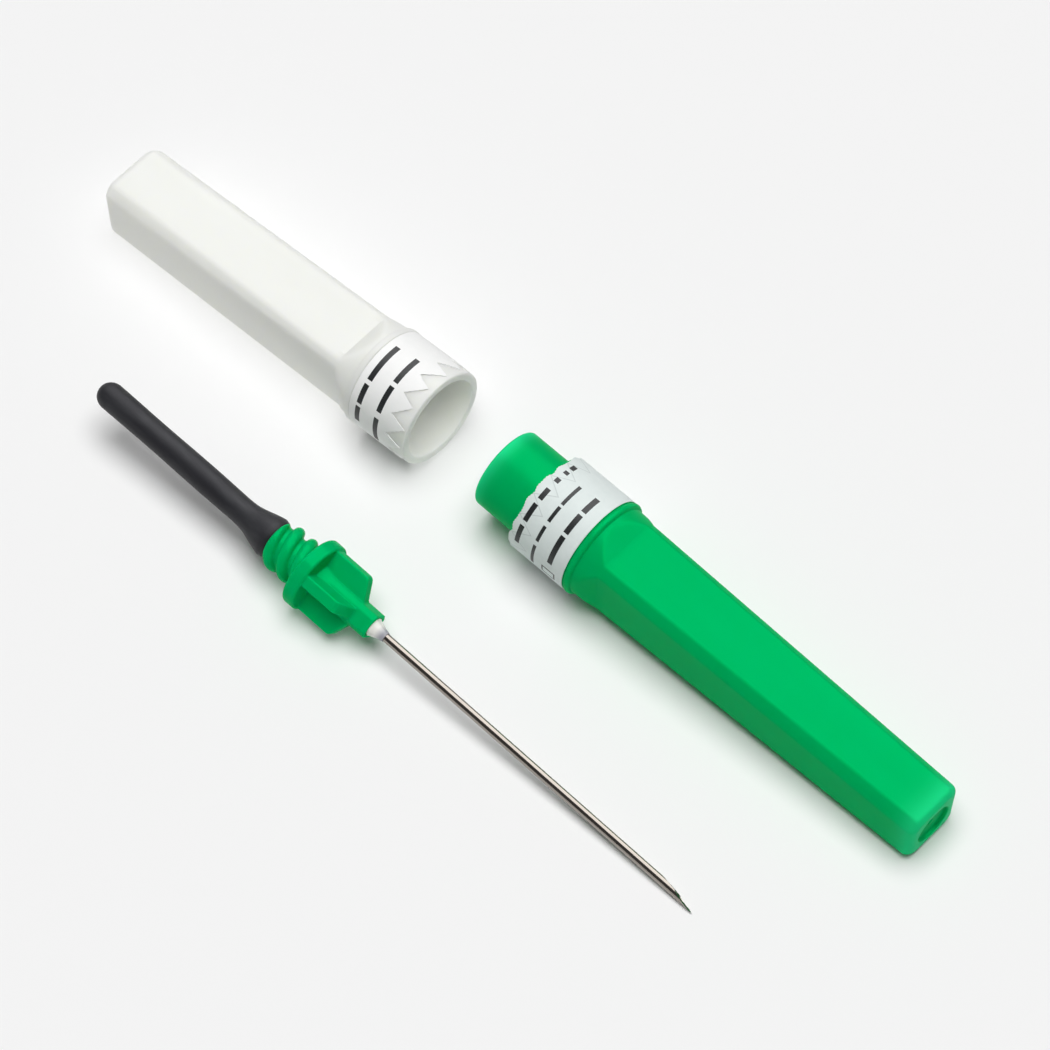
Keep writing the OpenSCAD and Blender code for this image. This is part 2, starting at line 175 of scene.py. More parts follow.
def arcRows(cz, cr, size, first, last, steps):
    # z and radius along an arc about (cz, cr), from one angle to the other in degrees, 0 along +Z
    a = np.radians(np.linspace(first, last, steps + 1))
    return np.stack([cz + size * np.cos(a), cr + size * np.sin(a)], -1)


def softMin(a, b, width):
    # the smaller of two lengths, rounded over where they are within the width of each other
    h = np.clip(0.5 + 0.5 * (b - a) / width, 0, 1)
    return b * (1 - h) + a * h - width * h * (1 - h)


def flattened(radius, flat, width, cols):
    # distance from the axis: the round body's radius, or flat / cos of the angle to the nearest
    # of four flats where that is less, blended over the width
    a = np.arange(cols) * fullTurn / cols
    folded = (a + math.pi / 4) % (math.pi / 2) - math.pi / 4
    return softMin(flat[:, None] / np.cos(folded)[None], radius[:, None], width)


def roundedMax(a, b, size):
    # the larger of two signed distances, with their meeting edge rounded to that radius
    return (np.hypot(np.maximum(a + size, 0), np.maximum(b + size, 0))
            + np.minimum(np.maximum(a, b) + size, 0) - size)


def skinOf(field, low, high, cell):
    # the surface where a field of signed distances is zero: one point in each cell of a grid that the
    # surface crosses, at the mean of the crossings on its edges, and a quad round each crossed edge
    axes = [np.arange(low[k], high[k] + cell, cell) for k in range(3)]
    grid = np.stack(np.meshgrid(*axes, indexing="ij"), -1)
    value = field(grid)
    shape = np.array(value.shape) - 1
    total, count = np.zeros((*shape, 3)), np.zeros(shape, int)
    signs = []
    for k in range(3):
        before, after = [slice(None)] * 3, [slice(None)] * 3
        before[k], after[k] = slice(None, -1), slice(1, None)
        first, second = value[tuple(before)], value[tuple(after)]
        crossed = (first < 0) != (second < 0)
        at = grid[tuple(before)] * crossed[..., None]
        at[..., k] += cell * np.where(crossed, first / np.where(crossed, first - second, 1), 0)
        i, j = [n for n in range(3) if n != k]
        for di, dj in ((0, 0), (0, 1), (1, 0), (1, 1)):
            pick = [slice(None)] * 3
            pick[i], pick[j] = slice(di, di + shape[i]), slice(dj, dj + shape[j])
            total += at[tuple(pick)]
            count += crossed[tuple(pick)]
        signs.append((first < 0).astype(int) - (second < 0))
    used = count > 0
    number = np.full(shape, -1)
    number[used] = np.arange(used.sum())
    quads = []
    for k in range(3):
        i, j = (k + 1) % 3, (k + 2) % 3
        at = np.argwhere(signs[k] != 0)
        step = np.zeros((4, 3), int)
        step[1, i] = step[2, i] = step[2, j] = step[3, j] = -1
        around = at[:, None] + step[None]
        quad = number[around[..., 0], around[..., 1], around[..., 2]]
        turned = signs[k][tuple(at.T)] < 0
        quad[turned] = quad[turned][:, ::-1]
        quads.append(quad)
    return total[used] / count[used][:, None], np.concatenate(quads)


def settle(field, verts, cell):
    # three steps of Newton's rule: each point moves along the field's slope until the field is zero
    h = 0.01
    for _ in range(3):
        slope = np.stack([field(verts + h * e) - field(verts - h * e) for e in np.eye(3)], -1) / (2 * h)
        move = np.clip(field(verts) / np.maximum((slope ** 2).sum(-1), 0.2), -cell / 3, cell / 3)
        verts = verts - move[:, None] * slope
    return verts


# materials

def toLinear(code):
    # "#rrggbb" in sRGB as linear red, green, blue and alpha
    v = np.array([int(code[i:i + 2], 16) for i in (1, 3, 5)]) / 255
    return (*np.where(v <= 0.04045, v / 12.92, ((v + 0.055) / 1.055) ** 2.4).tolist(), 1.0)


def addNode(tree, kind, settings=None, links=None):
    # a new node: settings name a property or an input, links name an input and give an output
    node = tree.nodes.new(kind)
    for key, value in (settings or {}).items():
        if isinstance(key, str) and hasattr(node, key):
            setattr(node, key, value)
        else:
            node.inputs[key].default_value = value
    for key, output in (links or {}).items():
        tree.links.new(output, node.inputs[key])
    return node


def newMaterial(name):
    material = bpy.data.materials.new(name)
    material.use_nodes = True
    tree = material.node_tree
    tree.nodes.clear()
    shader = addNode(tree, "ShaderNodeBsdfPrincipled")
    addNode(tree, "ShaderNodeOutputMaterial", links={"Surface": shader.outputs["BSDF"]})
    coords = addNode(tree, "ShaderNodeTexCoord")
    return material, tree, shader, coords


def perMm(size):
    # a texture's scale for a detail of that size in millimetres, on coordinates in metres
    return 1 / (size * mm)


def alongAxis(tree, coords, place, stretch):
    # coordinates turned so that their Z runs along a piece's axis, and squeezed along it
    turn = addNode(tree, "ShaderNodeMapping", {
        "vector_type": "TEXTURE",
        "Rotation": (0, math.radians(90 + place["pitch"]), math.radians(place["heading"]))},
        {"Vector": coords.outputs["Object"]})
    return addNode(tree, "ShaderNodeMapping", {"Scale": (1, 1, 1 / stretch)},
                   {"Vector": turn.outputs["Vector"]}).outputs["Vector"]


def letThrough(tree, shader, share):
    # thin milky plastic casts only part of a shadow: a share of the light passes each of its faces
    ray = addNode(tree, "ShaderNodeLightPath")
    cover = addNode(tree, "ShaderNodeMath", {"operation": "MULTIPLY_ADD", 1: -share, 2: 1.0},
                    {0: ray.outputs["Is Shadow Ray"]})
    tree.links.new(cover.outputs[0], shader.inputs["Alpha"])


greenFinish = {
    # edge: the paler green of the painted glow, which stands in for light coming through the thin wall at the ends
    "body": "#00B765", "deep": "#00AF5F", "sheen": "#00D98A", "edge": "#2BE29A",
    "grain": 0.16,          # mm, the spark-eroded grain of the mould
    "flow": 3.0,            # mm, width of the streaks that the melt leaves
    "roughness": 0.32, "skin": 0.10, "through": 0.0,
}
hubFinish = dict(greenFinish, body="#00BA6A", deep="#00B063", roughness=0.16, skin=0.09, flow=1.5, through=0.45)


def mouldedPolypropyleneGreen(name, place, finish):
    # green polypropylene from a fine-grained mould: a waxy, even green that lets a little light in,
    # with soft broad highlights and faint streaks along the way the melt ran
    material, tree, shader, coords = newMaterial(name)
    along = alongAxis(tree, coords, place, 7)
    streaks = addNode(tree, "ShaderNodeTexNoise", {"Scale": perMm(finish["flow"]), "Detail": 2.0},
                      {"Vector": along})
    colour = addNode(tree, "ShaderNodeMix", {"data_type": "RGBA", 6: toLinear(finish["deep"]),
                                             7: toLinear(finish["body"])},
                     {0: streaks.outputs["Fac"]})
    # painted glow: the colour is made paler where the wall ends, standing in for light that comes through it there, by
    # a weight kept on the mesh
    thin = addNode(tree, "ShaderNodeAttribute", {"attribute_name": "paintedGlowWeight"})
    colour = addNode(tree, "ShaderNodeMix", {"data_type": "RGBA", 7: toLinear(finish["edge"])},
                     {0: thin.outputs["Fac"], 6: colour.outputs[2]})
    grain = addNode(tree, "ShaderNodeTexNoise", {"Scale": perMm(finish["grain"]), "Detail": 2.0},
                    {"Vector": coords.outputs["Object"]})
    gloss = addNode(tree, "ShaderNodeMapRange", {"To Min": finish["roughness"] - 0.05,
                                                 "To Max": finish["roughness"] + 0.07},
                    {"Value": grain.outputs["Fac"]})
    bump = addNode(tree, "ShaderNodeBump", {"Strength": 0.05, "Distance": 0.02 * mm},
                   {"Height": grain.outputs["Fac"]})
    tree.links.new(colour.outputs[2], shader.inputs["Base Color"])
    tree.links.new(gloss.outputs["Result"], shader.inputs["Roughness"])
    tree.links.new(bump.outputs["Normal"], shader.inputs["Normal"])
    shader.inputs["IOR"].default_value = 1.49
    # the pigment lies close under the skin, so what shines back is green too: hardly any white gloss
    # and a small share of coloured gloss
    shader.inputs["Specular IOR Level"].default_value = 0.01
    shader.inputs["Specular Tint"].default_value = toLinear(finish["sheen"])
    shader.inputs["Metallic"].default_value = finish["skin"]
    if finish["through"]:
        letThrough(tree, shader, finish["through"])
    shader.inputs["Subsurface Weight"].default_value = 0.55
    shader.inputs["Subsurface Radius"].default_value = (0.3, 1.0, 0.6)
    shader.inputs["Subsurface Scale"].default_value = 0.9 * mm
    return material


capFinish = {"body": "#EFF0ED", "deep": "#E9EAE5", "grain": 0.2, "flow": 5.0, "roughness": 0.45,
             "through": 0.84}   # share of the light that passes each face of its wall


def mouldedPolypropyleneNatural(name, place, finish):
    # uncoloured polypropylene, 0.8 mm thick: milky, lets light through to its inside, and looks
    # greener where light has passed several walls
    material, tree, shader, coords = newMaterial(name)
    along = alongAxis(tree, coords, place, 6)
    clouds = addNode(tree, "ShaderNodeTexNoise", {"Scale": perMm(finish["flow"]), "Detail": 2.0},
                     {"Vector": along})
    colour = addNode(tree, "ShaderNodeMix", {"data_type": "RGBA", 6: toLinear(finish["deep"]),
                                             7: toLinear(finish["body"])},
                     {0: clouds.outputs["Fac"]})
    grain = addNode(tree, "ShaderNodeTexNoise", {"Scale": perMm(finish["grain"]), "Detail": 2.0},
                    {"Vector": coords.outputs["Object"]})
    gloss = addNode(tree, "ShaderNodeMapRange", {"To Min": finish["roughness"] - 0.05,
                                                 "To Max": finish["roughness"] + 0.08},
                    {"Value": grain.outputs["Fac"]})
    bump = addNode(tree, "ShaderNodeBump", {"Strength": 0.05, "Distance": 0.02 * mm},
                   {"Height": grain.outputs["Fac"]})
    tree.links.new(colour.outputs[2], shader.inputs["Base Color"])
    tree.links.new(gloss.outputs["Result"], shader.inputs["Roughness"])
    tree.links.new(bump.outputs["Normal"], shader.inputs["Normal"])
    shader.inputs["IOR"].default_value = 1.49
    letThrough(tree, shader, finish["through"])
    shader.inputs["Subsurface Weight"].default_value = 1.0
    shader.inputs["Subsurface Radius"].default_value = (1.0, 1.0, 0.9)
    shader.inputs["Subsurface Scale"].default_value = 1.0 * mm
    return material


rubberFinish = {"body": "#26262A", "bloom": "#37383B", "grain": 0.09, "roughness": 0.5}


def dippedRubberBlack(name, place, finish):
    # black isoprene rubber, dipped and dusted with talc: matt, with a faint grey bloom in patches
    material, tree, shader, coords = newMaterial(name)
    along = alongAxis(tree, coords, place, 4)
    bloom = addNode(tree, "ShaderNodeTexNoise", {"Scale": perMm(1.4), "Detail": 3.0, "Roughness": 0.6},
                    {"Vector": along})
    amount = addNode(tree, "ShaderNodeMapRange", {"From Min": 0.45, "From Max": 0.8},
                     {"Value": bloom.outputs["Fac"]})
    colour = addNode(tree, "ShaderNodeMix", {"data_type": "RGBA", 6: toLinear(finish["body"]),
                                             7: toLinear(finish["bloom"])},
                     {0: amount.outputs["Result"]})
    grain = addNode(tree, "ShaderNodeTexNoise", {"Scale": perMm(finish["grain"]), "Detail": 3.0},
                    {"Vector": coords.outputs["Object"]})
    bump = addNode(tree, "ShaderNodeBump", {"Strength": 0.12, "Distance": 0.02 * mm},
                   {"Height": grain.outputs["Fac"]})
    gloss = addNode(tree, "ShaderNodeMapRange", {"To Min": finish["roughness"] - 0.06,
                                                 "To Max": finish["roughness"] + 0.1},
                    {"Value": grain.outputs["Fac"]})
    tree.links.new(colour.outputs[2], shader.inputs["Base Color"])
    tree.links.new(gloss.outputs["Result"], shader.inputs["Roughness"])
    tree.links.new(bump.outputs["Normal"], shader.inputs["Normal"])
    shader.inputs["IOR"].default_value = 1.52
    shader.inputs["Specular IOR Level"].default_value = 0.25
    return material


steelFinish = {"body": "#A19A92", "line": "#8D867F", "scratch": 0.05, "roughness": 0.17}


def drawnSteelTube(name, place, finish):
    # stainless steel drawn through a die: a bright metal with hair-fine lines along the tube
    material, tree, shader, coords = newMaterial(name)
    along = alongAxis(tree, coords, place, 60)
    lines = addNode(tree, "ShaderNodeTexNoise", {"Scale": perMm(finish["scratch"]), "Detail": 2.0},
                    {"Vector": along})
    colour = addNode(tree, "ShaderNodeMix", {"data_type": "RGBA", 6: toLinear(finish["line"]),
                                             7: toLinear(finish["body"])},
                     {0: lines.outputs["Fac"]})
    gloss = addNode(tree, "ShaderNodeMapRange", {"To Min": finish["roughness"] - 0.06,
                                                 "To Max": finish["roughness"] + 0.08},
                    {"Value": lines.outputs["Fac"]})
    bump = addNode(tree, "ShaderNodeBump", {"Strength": 0.08, "Distance": 0.01 * mm},
                   {"Height": lines.outputs["Fac"]})
    tree.links.new(colour.outputs[2], shader.inputs["Base Color"])
    tree.links.new(gloss.outputs["Result"], shader.inputs["Roughness"])
    tree.links.new(bump.outputs["Normal"], shader.inputs["Normal"])
    shader.inputs["Metallic"].default_value = 1.0
    return material


def milkyAdhesive(name, place):
    # light-cured adhesive: milky where it is thick in the well, greyer and glassy where it thins out
    material, tree, shader, coords = newMaterial(name)
    thin = addNode(tree, "ShaderNodeAttribute", {"attribute_name": "thinness"})
    colour = addNode(tree, "ShaderNodeMix", {"data_type": "RGBA", 6: toLinear("#F0EFE9"),
                                             7: toLinear("#A9A9B2")},
                     {0: thin.outputs["Fac"]})
    drops = addNode(tree, "ShaderNodeTexNoise", {"Scale": perMm(0.5), "Detail": 2.0},
                    {"Vector": coords.outputs["Object"]})
    bump = addNode(tree, "ShaderNodeBump", {"Strength": 0.15, "Distance": 0.05 * mm},
                   {"Height": drops.outputs["Fac"]})
    tree.links.new(colour.outputs[2], shader.inputs["Base Color"])
    tree.links.new(bump.outputs["Normal"], shader.inputs["Normal"])
    shader.inputs["Roughness"].default_value = 0.16
    shader.inputs["IOR"].default_value = 1.5
    shader.inputs["Subsurface Weight"].default_value = 0.5
    shader.inputs["Subsurface Radius"].default_value = (1.0, 1.0, 1.0)
    shader.inputs["Subsurface Scale"].default_value = 0.4 * mm
    return material


def coatedPaper(name, body, shade, slits=None):
    # clay-coated label paper: flat and even, with fibres that show as faint clouds and a fine tooth;
    # a zigzag of fine slits along the torn edge shows as thin grey lines
    material, tree, shader, coords = newMaterial(name)
    fibre = addNode(tree, "ShaderNodeTexNoise", {"Scale": perMm(0.7), "Detail": 5.0, "Roughness": 0.65},
                    {"Vector": coords.outputs["Object"]})
    colour = addNode(tree, "ShaderNodeMix", {"data_type": "RGBA", 6: toLinear(shade),
                                             7: toLinear(body)},
                     {0: fibre.outputs["Fac"]})
    bump = addNode(tree, "ShaderNodeBump", {"Strength": 0.12, "Distance": 0.02 * mm},
                   {"Height": fibre.outputs["Fac"]})
    paint = colour.outputs[2]
    if slits:
        # line: the edge's z plus the depth times a triangle wave of the way round
        around = addNode(tree, "ShaderNodeSeparateXYZ",
                         links={0: addNode(tree, "ShaderNodeUVMap", {"uv_map": "paper"}).outputs["UV"]})
        fold = addNode(tree, "ShaderNodeMath", {"operation": "PINGPONG", 1: slits["pitch"] / 2},
                       {0: around.outputs["X"]})
        line = addNode(tree, "ShaderNodeMath", {"operation": "MULTIPLY_ADD",
                                                1: slits["depth"] / (slits["pitch"] / 2), 2: slits["edgeZ"]},
                       {0: fold.outputs[0]})
        away = addNode(tree, "ShaderNodeMath", {"operation": "SUBTRACT"},
                       {0: around.outputs["Y"], 1: line.outputs[0]})
        away = addNode(tree, "ShaderNodeMath", {"operation": "ABSOLUTE"}, {0: away.outputs[0]})
        mark = addNode(tree, "ShaderNodeMapRange", {"From Min": 0.05, "From Max": 0.13, "To Min": 0.32, "To Max": 0.0},
                       {"Value": away.outputs[0]})
        paint = addNode(tree, "ShaderNodeMix", {"data_type": "RGBA", 7: toLinear(slits["colour"])},
                        {0: mark.outputs["Result"], 6: paint}).outputs[2]
    tree.links.new(paint, shader.inputs["Base Color"])
    tree.links.new(bump.outputs["Normal"], shader.inputs["Normal"])
    shader.inputs["Roughness"].default_value = 0.6
    shader.inputs["IOR"].default_value = 1.45
    return material


def printedInk(name):
    # black printing ink on the coated paper: thin, slightly glossy, with pinholes in its coverage
    material, tree, shader, coords = newMaterial(name)
    holes = addNode(tree, "ShaderNodeTexNoise", {"Scale": perMm(0.12), "Detail": 2.0},
                    {"Vector": coords.outputs["Object"]})
    colour = addNode(tree, "ShaderNodeMix", {"data_type": "RGBA", 6: toLinear("#121314"),
                                             7: toLinear("#2A2C2D")},
                     {0: holes.outputs["Fac"]})
    tree.links.new(colour.outputs[2], shader.inputs["Base Color"])
    shader.inputs["Roughness"].default_value = 0.45
    shader.inputs["IOR"].default_value = 1.5
    return material


sheathGreen = mouldedPolypropyleneGreen("polypropylene_green_sheath", sheathPlace, greenFinish)
hubGreen = mouldedPolypropyleneGreen("polypropylene_green_hub", needlePlace, hubFinish)
capMilky = mouldedPolypropyleneNatural("polypropylene_natural_cap", capPlace, capFinish)
rubberBlack = dippedRubberBlack("isoprene_rubber_black", needlePlace, rubberFinish)
tubeSteel = drawnSteelTube("stainless_steel_drawn", needlePlace, steelFinish)
glueMilky = milkyAdhesive("adhesive_light_cured", needlePlace)
sheathPaper = coatedPaper("paper_coated_cool", "#E4ECEA", "#D6E0DE",
                          {"pitch": 2.2, "depth": 1.9, "edgeZ": 5.3, "colour": "#8E9A9A"})
capPaper = coatedPaper("paper_coated_white", "#FBFBFA", "#F2F3F2")
ink = printedInk("ink_black")
print("materials made")


# green sheath: one closed surface, from the end of its bore out through the mouth, over the
# spigot, collar, bead, neck and flats, round the narrow end and into its recess
sheath = {
    "spigotRadius": 3.97, "spigotLen": 5.1, "collarRadius": 4.84, "beadRadius": 4.948,
    "beadZ": 11.45, "beadWidth": 0.7, "neckRadius": 4.60, "flatsZ": 12.3, "ramp": 2.1,
    "length": 50.15, "endRadius": 3.75, "endRound": 0.8, "flatShare": 0.78, "flatShareEnd": 0.82,
    "boreRadius": 3.37, "boreLen": 6.7, "deepRadius": 2.808, "farRadius": 2.295, "farZ": 47.95,
    "recessRadius": 1.9, "recessDepth": 0.35, "edgeSoftness": 0.16, "columns": 288,
}
noFlat = 30.0


def sheathShell(s):
    rows = [
        (s["farZ"], 0.9, noFlat), (s["farZ"], s["farRadius"] - 0.2, noFlat),
        (s["farZ"] - 0.2, s["farRadius"], noFlat), (s["boreLen"] + 1.4, s["deepRadius"], noFlat),
        (s["boreLen"], s["boreRadius"], noFlat), (0.5, s["boreRadius"], noFlat)]
    for z, r in arcRows(0.12, s["boreRadius"] + 0.12, 0.12, 270, 180, 4):
        rows.append((z, r, noFlat))
    for z, r in arcRows(0.35, s["spigotRadius"] - 0.35, 0.35, 180, 90, 8):
        rows.append((z, r, noFlat))
    rows += [(z, s["spigotRadius"], noFlat) for z in np.linspace(0.35, s["spigotLen"], 12)[1:]]
    rows += [(s["spigotLen"], s["collarRadius"] - 0.05, noFlat),
             (s["spigotLen"] + 0.05, s["collarRadius"], noFlat), (s["beadZ"], s["collarRadius"], noFlat)]
    half = s["beadWidth"] / 2
    for z, r in arcRows(s["beadZ"] + half, s["beadRadius"] - half, half, 150, 12, 12):
        rows.append((z, r, noFlat))
    rows += [(s["beadZ"] + s["beadWidth"] + 0.05, s["neckRadius"], noFlat)]
    # the flats: a plane ramp down to the flat, then straight to the narrow end
    t = np.linspace(0, 1, 18)
    flat0 = s["neckRadius"] * s["flatShare"]
    flat1 = s["endRadius"] * s["flatShareEnd"]
    run = s["length"] - s["flatsZ"]
    leadZ = s["flatsZ"] + s["ramp"] * t
    leadFlat = flat0 + (s["neckRadius"] + s["edgeSoftness"] - flat0) * (1 - t)
    bodyZ = np.linspace(s["flatsZ"] + s["ramp"], s["length"] - s["endRound"], 40)[1:]
    bodyFlat = flat0 + (flat1 - flat0) * (bodyZ - s["flatsZ"] - s["ramp"]) / (run - s["ramp"] - s["endRound"])

    def roundAt(z):
        return s["neckRadius"] + (s["endRadius"] - s["neckRadius"]) * (z - s["flatsZ"]) / (run - s["endRound"])

    rows += list(zip(leadZ, roundAt(leadZ), leadFlat)) + list(zip(bodyZ, roundAt(bodyZ), bodyFlat))
    a = np.radians(np.linspace(0, 90, 9))[1:]
    drop = s["endRound"] * (1 - np.cos(a))
    rows += list(zip(s["length"] - s["endRound"] * (1 - np.sin(a)), s["endRadius"] - drop, flat1 - drop))
    z, radius, flat = np.array(rows).T
    body = flattened(radius, flat, s["edgeSoftness"], s["columns"])
    # from the edge of the end face in to the round recess, its wall and its floor
    share = np.array([0.35, 0.7, 1.0])[:, None]
    face = body[-1:] * (1 - share) + (s["recessRadius"] + 0.12) * share
    inner = [(s["length"] - 0.04, s["recessRadius"] + 0.03), (s["length"] - 0.12, s["recessRadius"])]
    floorZ = s["length"] - s["recessDepth"]
    inner += [(floorZ + 0.15, s["recessRadius"] - 0.02), (floorZ + 0.04, s["recessRadius"] - 0.06),
              (floorZ, s["recessRadius"] - 0.18), (floorZ, 1.0), (floorZ, 0.34), (floorZ + 0.05, 0.27),
              (floorZ + 0.07, 0.12)]
    innerZ, innerR = np.array(inner).T
    radius = np.concatenate([body, face, np.repeat(innerR[:, None], s["columns"], 1)])
    z = np.concatenate([z, np.full(3, s["length"]), innerZ])
    verts, faces = closedShell(aroundAxis(radius, z[:, None]))
    # weight of the painted glow at the thin edges: falls off within a millimetre of the mouth and two of the narrow
    # end
    far = s["length"] - verts[:, 2]
    outside = np.hypot(verts[:, 0], verts[:, 1]) > s["recessRadius"] + 0.1
    paintedGlowWeight = 0.75 * np.exp(-(verts[:, 2] / 0.9) ** 2) + 0.5 * np.exp(-(far / 1.6) ** 2) * outside
    return (verts, faces), paintedGlowWeight


sheathGrid, paintedGlowWeight = sheathShell(sheath)
greenSheath = makePiece("greenSheath", sheathGrid, sheathPlace, [sheathGreen])
greenSheath.data.attributes.new("paintedGlowWeight", "FLOAT", "POINT").data.foreach_set("value", paintedGlowWeight.astype(np.float32))
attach(greenSheath, "root")
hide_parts("needle_sheath")
print("green sheath made")


# white cap: one closed surface, from the end of its inside out through the socket and the mouth,
# over the collar, neck and flats, and round the closed end
cap = {
    "length": 38.85, "collarLen": 7.25, "collarRadius": 4.84, "shoulderRadius": 4.95,
    "neckRadius": 4.68, "endRadius": 4.36, "endRound": 1.0, "flatsZ": 7.4, "ramp": 1.9,
    "flatShare": 0.78, "flatShareEnd": 0.82, "wall": 0.78, "socketRadius": 4.02, "socketLen": 5.5,
    "shoulderWidth": 0.65, "floor": 1.1, "edgeSoftness": 0.3, "columns": 288,
}


def capShell(s):
    flat0 = s["neckRadius"] * s["flatShare"]
    flat1 = s["endRadius"] * s["flatShareEnd"]
    first, last = s["flatsZ"] + s["ramp"], s["length"] - s["endRound"]

    def roundAt(z):
        return s["neckRadius"] + (s["endRadius"] - s["neckRadius"]) * (z - s["collarLen"]) / (last - s["collarLen"])

    def flatAt(z):
        # plane ramp, then straight towards the closed end
        t = np.clip((z - s["flatsZ"]) / s["ramp"], 0, 1)
        straight = flat0 + (flat1 - flat0) * np.clip((z - first) / (last - first), 0, 1)
        ramp = straight + (s["neckRadius"] + s["edgeSoftness"] - flat0) * (1 - t)
        return np.where(z < s["flatsZ"], noFlat, ramp)

    # inside, walked from the closed end to the mouth
    innerZ = np.concatenate([np.linspace(s["length"] - s["floor"] + 0.2, first, 20),
                             np.linspace(first, s["flatsZ"], 14)[1:]])
    innerR = roundAt(innerZ) - s["wall"]
    innerF = flatAt(innerZ) - s["wall"]
    rows = [(s["length"] - s["floor"], innerR[0] - 2.2, innerF[0] - 2.2), (s["length"] - s["floor"],
            innerR[0] - 0.3, innerF[0] - 0.3)]
    rows += list(zip(innerZ - 0.2, innerR, innerF))
    rows += [(s["socketLen"] + 0.3, s["neckRadius"] - s["wall"], noFlat),
             (s["socketLen"], s["socketRadius"] - 0.02, noFlat), (s["socketLen"] - 0.15, s["socketRadius"], noFlat),
             (0.6, s["socketRadius"], noFlat)]
    for z, r in arcRows(0.15, s["socketRadius"] + 0.15, 0.15, 270, 180, 4):
        rows.append((z, r, noFlat))
    for z, r in arcRows(0.15, s["collarRadius"] - 0.15, 0.15, 180, 90, 4):
        rows.append((z, r, noFlat))
    shoulder = s["collarLen"] - s["shoulderWidth"]
    rows += [(shoulder, s["collarRadius"], noFlat)]
    for z, r in arcRows(shoulder + 0.1, s["shoulderRadius"] - 0.1, 0.1, 180, 90, 3):
        rows.append((z, r, noFlat))
    for z, r in arcRows(s["collarLen"] - 0.1, s["shoulderRadius"] - 0.1, 0.1, 90, 0, 3):
        rows.append((z, r, noFlat))
    rows += [(s["collarLen"] + 0.06, s["neckRadius"] + 0.02, noFlat)]
    outZ = np.concatenate([np.linspace(s["flatsZ"], first, 16), np.linspace(first, last, 34)[1:]])
    rows += list(zip(outZ, roundAt(outZ), flatAt(outZ)))
    a = np.radians(np.linspace(0, 90, 13))[1:]
    drop = s["endRound"] * (1 - np.cos(a))
    rows += list(zip(s["length"] - s["endRound"] * (1 - np.sin(a)), s["endRadius"] - drop, flat1 - drop))
    rows += [(s["length"], s["endRadius"] * 0.55, flat1 * 0.5), (s["length"], s["endRadius"] * 0.2, flat1 * 0.2)]
    z, radius, flat = np.array(rows).T
    body = flattened(radius, flat, s["edgeSoftness"], s["columns"])
    return closedShell(aroundAxis(body, z[:, None]))


whiteCap = makePiece("whiteCap", capShell(cap), capPlace, [capMilky])
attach(whiteCap, "root")
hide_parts("rear_cap")
print("white cap made")


# torn paper seals: bands with their own grid lines at the edges of each printed bar

def paperBand(radius, thickness, torn, straightZ, bars, columns):
    # point at angle a and row v: on the inner or outer radius, at z from the torn edge's z(a)
    # down to the straight edge. A bar is (first angle, last angle, first z, last z); its cells carry ink
    edges = np.radians(np.array([b[:2] for b in bars]).ravel()) if bars else np.array([])
    a = np.unique(np.round(np.concatenate([np.arange(columns) * fullTurn / columns, edges % fullTurn]), 6))
    heights = np.array([b[2:] for b in bars]).ravel() if bars else np.array([])
    edgeZ = torn(a)
    start = edgeZ.max() + 0.02
    levels = np.unique(np.round(np.concatenate([heights[heights > start], [start, straightZ]]), 4))
    share = np.array([0.0, 0.34, 0.67])[:, None]
    z = np.concatenate([edgeZ * (1 - share) + start * share, np.repeat(levels[:, None], len(a), 1)])
    outer = np.full(z.shape, radius + thickness)
    grid = np.concatenate([z[::-1], z])
    r = np.concatenate([np.full(z.shape, radius), outer])
    points = np.stack([r * np.cos(a), r * np.sin(a), grid], -1)
    verts, faces = ringShell(points)
    rows, cols = grid.shape
    # which cells carry ink: those of the outer face whose middle is inside a bar
    nextA = np.append(a[1:], fullTurn)
    midA = np.broadcast_to(np.degrees((a + nextA) / 2)[None], (rows, cols))
    midZ = (grid + np.roll(grid, -1, 0)) / 2
    isOuter = (np.arange(rows) >= rows // 2)[:, None] & (np.arange(rows) < rows - 1)[:, None]
    inked = np.zeros((rows, cols), bool)
    for first, last, low, high in bars:
        inked |= isOuter & (midA > first) & (midA < last) & (midZ > low) & (midZ < high)
    # the paper's own coordinates: millimetres round the band, and along its axis
    u = np.stack([a, nextA, nextA, a], -1) * (radius + thickness)
    v = np.stack([grid, grid, np.roll(grid, -1, 0), np.roll(grid, -1, 0)], -1)
    uv = np.stack([np.broadcast_to(u[None], (rows, cols, 4)), v], -1).reshape(-1, 4, 2)
    return (verts, faces), inked.ravel(), uv


sheathSeal = {
    "radius": 4.85, "thickness": 0.065, "straightZ": 11.42, "tornZ": 5.26, "columns": 720,
    # plain bars where the printed rows were: first and last angle, first and last z
    "bars": [(150, 158, 5.8, 6.3), (163, 168, 5.8, 6.3), (176, 182, 5.8, 6.3), (192, 206, 5.8, 6.3),
             (212, 234, 5.8, 6.3), (240, 266, 5.8, 6.3),
             (168, 196, 7.75, 8.1), (199, 218, 7.75, 8.1), (224, 244, 7.75, 8.1), (250, 282, 7.75, 8.1),
             (166, 188, 9.55, 10.1), (192, 216, 9.55, 10.1), (220, 258, 9.55, 10.1),
             (269, 271, 9.05, 10.6), (271, 280, 9.05, 9.2), (271, 280, 10.45, 10.6), (280, 282, 9.05, 10.6)],
}


def sheathTorn(a):
    # scallops of about two millimetres, pointed between them, with a finer raggedness on them
    return (sheathSeal["tornZ"] + 0.06 * np.sin(5 * a) + 0.04 * np.sin(23 * a + 0.7)
            - 0.17 * np.abs(np.sin(7 * a + 0.4)) + 0.05 * np.abs(np.sin(53 * a + np.sin(5 * a))))


band, inked, paperUv = paperBand(sheathSeal["radius"], sheathSeal["thickness"], sheathTorn,
                                 sheathSeal["straightZ"], sheathSeal["bars"], sheathSeal["columns"])
sheathLabel = makePiece("sheathSealPaper", band, sheathPlace, [sheathPaper, ink], inked, paperUv)
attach(sheathLabel, "root")
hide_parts("sheath_label")

